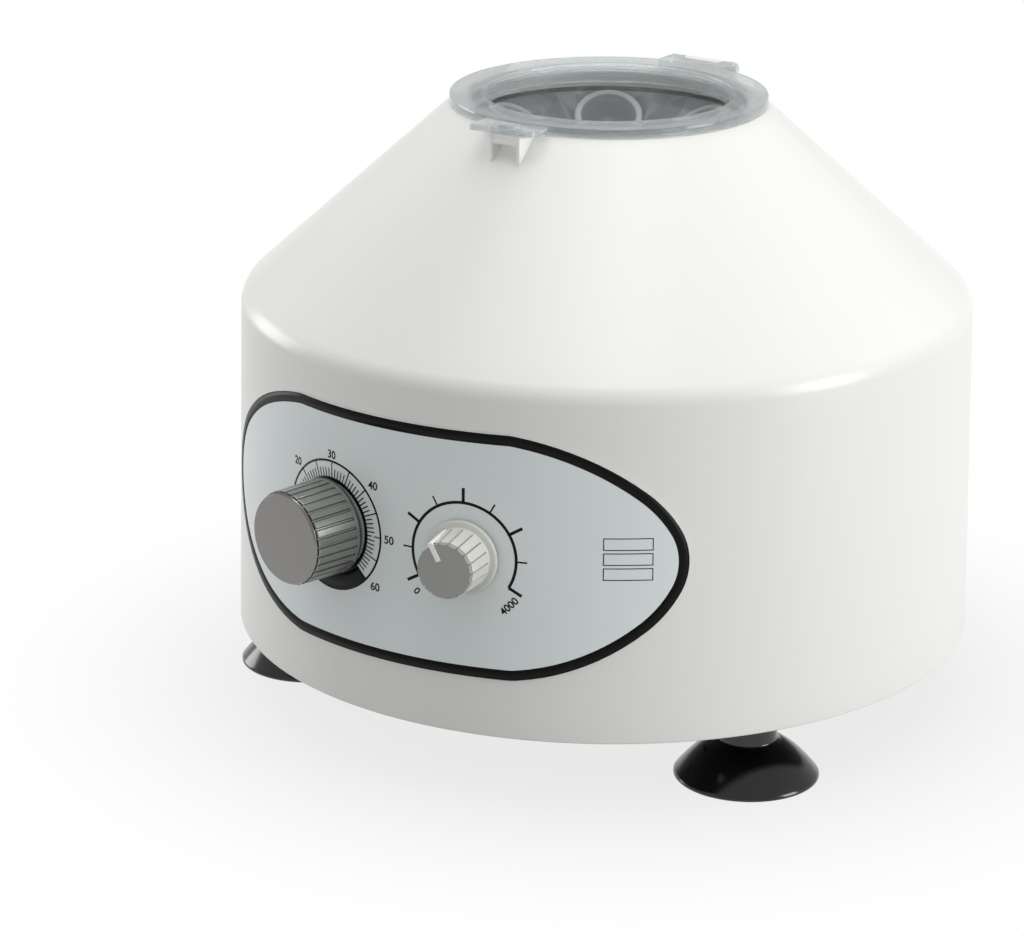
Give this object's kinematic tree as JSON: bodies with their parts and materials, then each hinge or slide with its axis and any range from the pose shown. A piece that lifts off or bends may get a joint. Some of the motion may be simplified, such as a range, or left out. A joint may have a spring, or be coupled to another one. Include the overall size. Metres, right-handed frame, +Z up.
{
  "type": "butterfat centrifuge",
  "caption": "Round bench centrifuge with a conical top, clear hinged lid, angled tube rotor, timer and speed knobs, on suction feet.",
  "frame": {"origin": "on the spin axis at bench level", "axes": "+Z up along the spin axis, -Y towards the control panel, +X to the operator's right"},
  "size_m": [0.2652, 0.3033, 0.2186],
  "materials": {
    "white_abs": "moulded",
    "white_nylon": "moulded",
    "clear_lid": "clear moulded",
    "overlay": "printed film",
    "black_rubber": "glossy",
    "damper_rubber": "matt",
    "dark_tray": "moulded",
    "rotor_grey": "moulded",
    "sleeve": "translucent",
    "grip_grey": "satin",
    "brushed_cap": "brushed",
    "knob_white": "moulded",
    "knob_cap_grey": "moulded",
    "pointer_white": "moulded",
    "steel": "turned",
    "plate_black": "powder coat",
    "motor_steel": "pressed",
    "lamination": "laminated",
    "black_plastic": "moulded",
    "board_green": "solder mask"
  },
  "bodies": {
    "chassis": {"housing": "white_abs", "latch_keeper": "white_nylon", "board_post_1": "white_nylon", "board_post_2": "white_nylon", "board_post_3": "white_nylon", "board_post_4": "white_nylon", "control_panel": "overlay", "suction_foot_1": "black_rubber", "suction_foot_2": "black_rubber", "suction_foot_3": "black_rubber", "motor_damper_1": "damper_rubber", "motor_damper_2": "damper_rubber", "motor_damper_3": "damper_rubber", "chamber_floor": "dark_tray", "base_screw_1": "steel", "base_screw_2": "steel", "base_screw_3": "steel", "base_screw_4": "steel", "floor_screw_1": "steel", "floor_screw_2": "steel", "floor_screw_3": "steel", "floor_screw_4": "steel", "foot_bolt_1": "steel", "foot_bolt_2": "steel", "foot_bolt_3": "steel", "hinge_pin": "steel", "shaft_bearing_lower": "steel", "shaft_bearing_upper": "steel", "timer_nut": "steel", "speed_nut": "steel", "base_plate": "plate_black", "motor_can": "motor_steel", "motor_top_bell": "motor_steel", "motor_bottom_bell": "motor_steel", "speed_potentiometer": "motor_steel", "brush_holder_1": "black_plastic", "brush_holder_2": "black_plastic", "timer_mechanism": "black_plastic", "gland_body": "black_plastic", "gland_cap": "black_plastic", "gland_locknut": "black_plastic", "circuit_board": "board_green"},
    "lid": {"lid": "clear_lid"},
    "rotor": {"rotor_head": "rotor_grey", "rotor_nut": "steel", "motor_shaft": "steel", "motor_armature": "lamination", "tube_sleeve_1": "sleeve", "tube_sleeve_2": "sleeve", "tube_sleeve_3": "sleeve", "tube_sleeve_4": "sleeve", "tube_sleeve_5": "sleeve", "tube_sleeve_6": "sleeve"},
    "timer_dial": {"timer_knob": "grip_grey", "timer_knob_cap": "brushed_cap", "timer_shaft": "steel"},
    "speed_dial": {"speed_knob": "knob_white", "speed_knob_cap": "knob_cap_grey", "speed_knob_pointer": "pointer_white", "speed_shaft": "steel"}
  },
  "joints": [
    {"name": "lid_hinge", "type": "hinge", "parent": "chassis", "child": "lid", "pos_m": [0, 0.0644, 0.21438], "axis": [-1, 0, 0], "range_deg": [0, 110]},
    {"name": "rotor_spin", "type": "hinge", "parent": "chassis", "child": "rotor", "pos_m": [0, 0, 0.15], "axis": [0, 0, 1], "continuous": true},
    {"name": "timer_turn", "type": "hinge", "parent": "chassis", "child": "timer_dial", "pos_m": [-0.02681, -0.12847, 0.0886], "axis": [-0.2043, -0.9789, 0], "range_deg": [-267, 0]},
    {"name": "speed_turn", "type": "hinge", "parent": "chassis", "child": "speed_dial", "pos_m": [0.02681, -0.12847, 0.0886], "axis": [0.2043, -0.9789, 0], "range_deg": [-148, 92]}
  ]
}
